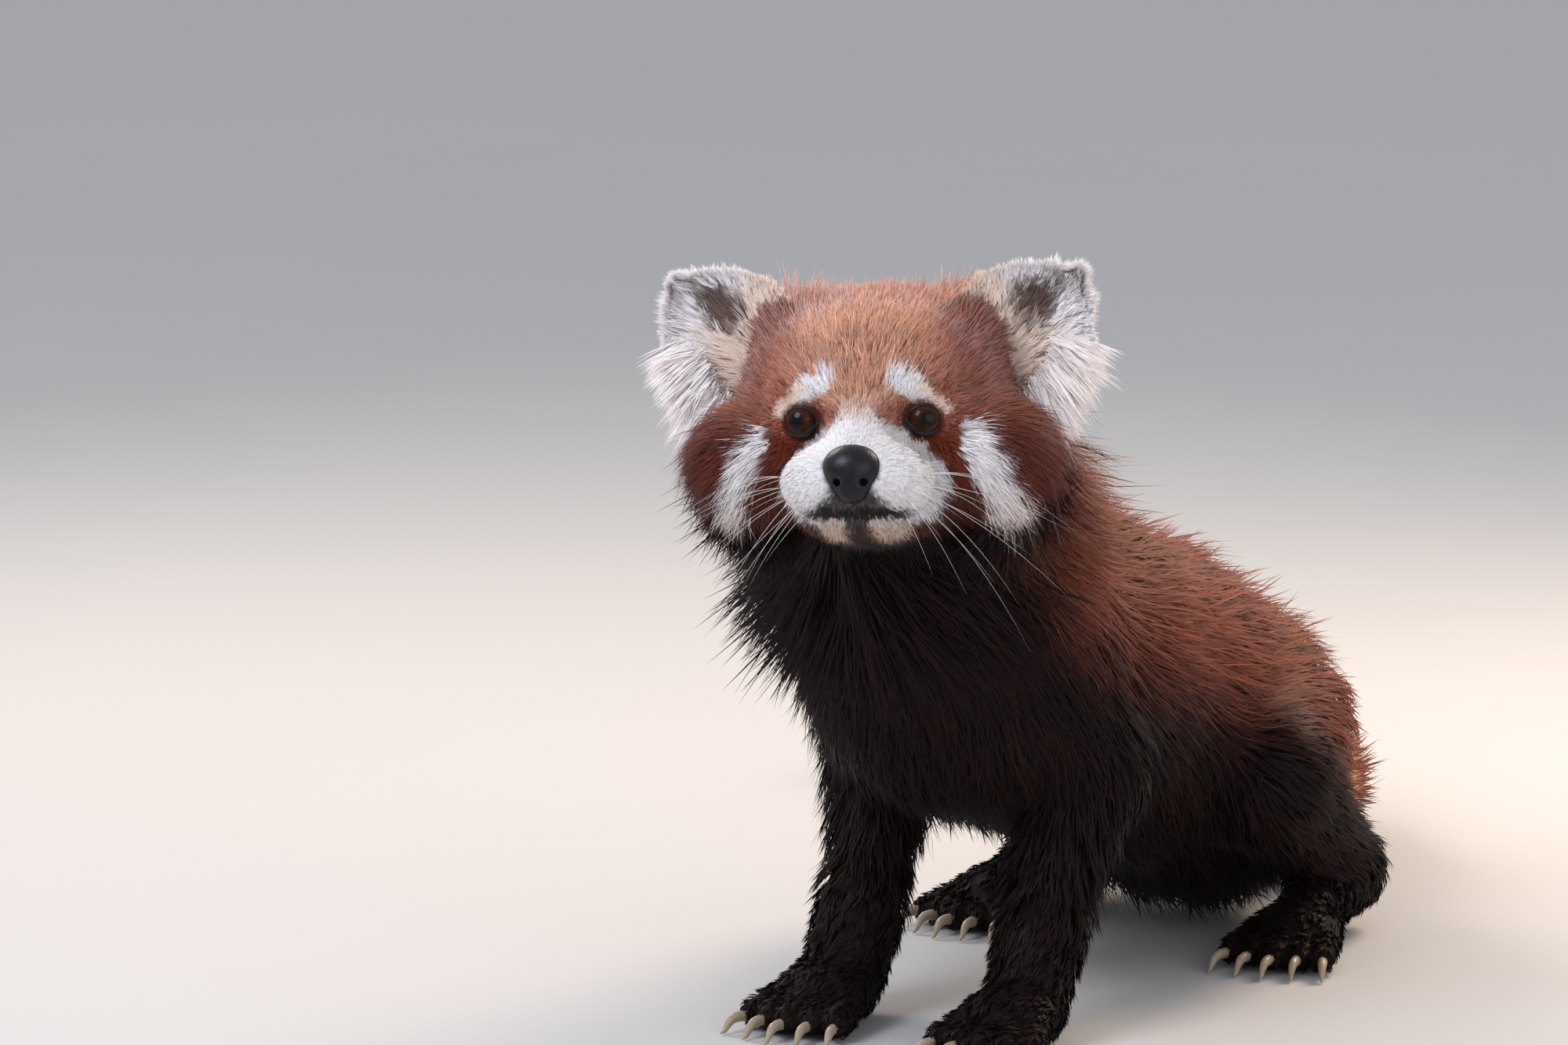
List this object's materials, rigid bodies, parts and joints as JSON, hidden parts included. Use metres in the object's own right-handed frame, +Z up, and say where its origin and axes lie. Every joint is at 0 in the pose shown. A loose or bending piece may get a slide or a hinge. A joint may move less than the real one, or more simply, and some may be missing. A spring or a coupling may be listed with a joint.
{
  "type": "red panda",
  "caption": "Life-size red panda crouched low on its haunches, head turned, bushy tail laid along the floor.",
  "frame": {"origin": "on the floor, under the centre of the bounding box", "axes": "+Z up, the body faces -Y, its left side is towards +X"},
  "size_m": [0.38, 0.6354, 0.3267],
  "materials": {
    "red_brown_fur": "long soft red-brown coat with paler tips, markings of the face included",
    "dark_leg_fur": "dense black-brown coat of legs and paws",
    "tail_fur": "long bushy coat in alternating red-brown and buff bands",
    "cream_fur": "cream ear coat with a dark inner side",
    "eyes": "wet dark brown",
    "nose_leather": "moist fine-grained black skin"
  },
  "bodies": {
    "root": {"eye_left": "eyes", "eye_right": "eyes", "nose": "nose_leather", "head": "red_brown_fur", "ear_left": "cream_fur", "ear_right": "cream_fur", "trunk_chest": "red_brown_fur", "trunk_rump": "red_brown_fur", "neck": "red_brown_fur", "upper_arm_left": "dark_leg_fur", "forearm_left": "dark_leg_fur", "forepaw_left": "dark_leg_fur", "upper_arm_right": "dark_leg_fur", "forearm_right": "dark_leg_fur", "forepaw_right": "dark_leg_fur", "thigh_left": "red_brown_fur", "shank_left": "dark_leg_fur", "hindfoot_left": "dark_leg_fur", "thigh_right": "red_brown_fur", "shank_right": "dark_leg_fur", "hindfoot_right": "dark_leg_fur", "tail_1": "tail_fur", "tail_2": "tail_fur", "tail_3": "tail_fur", "tail_4": "tail_fur"}
  },
  "joints": []
}
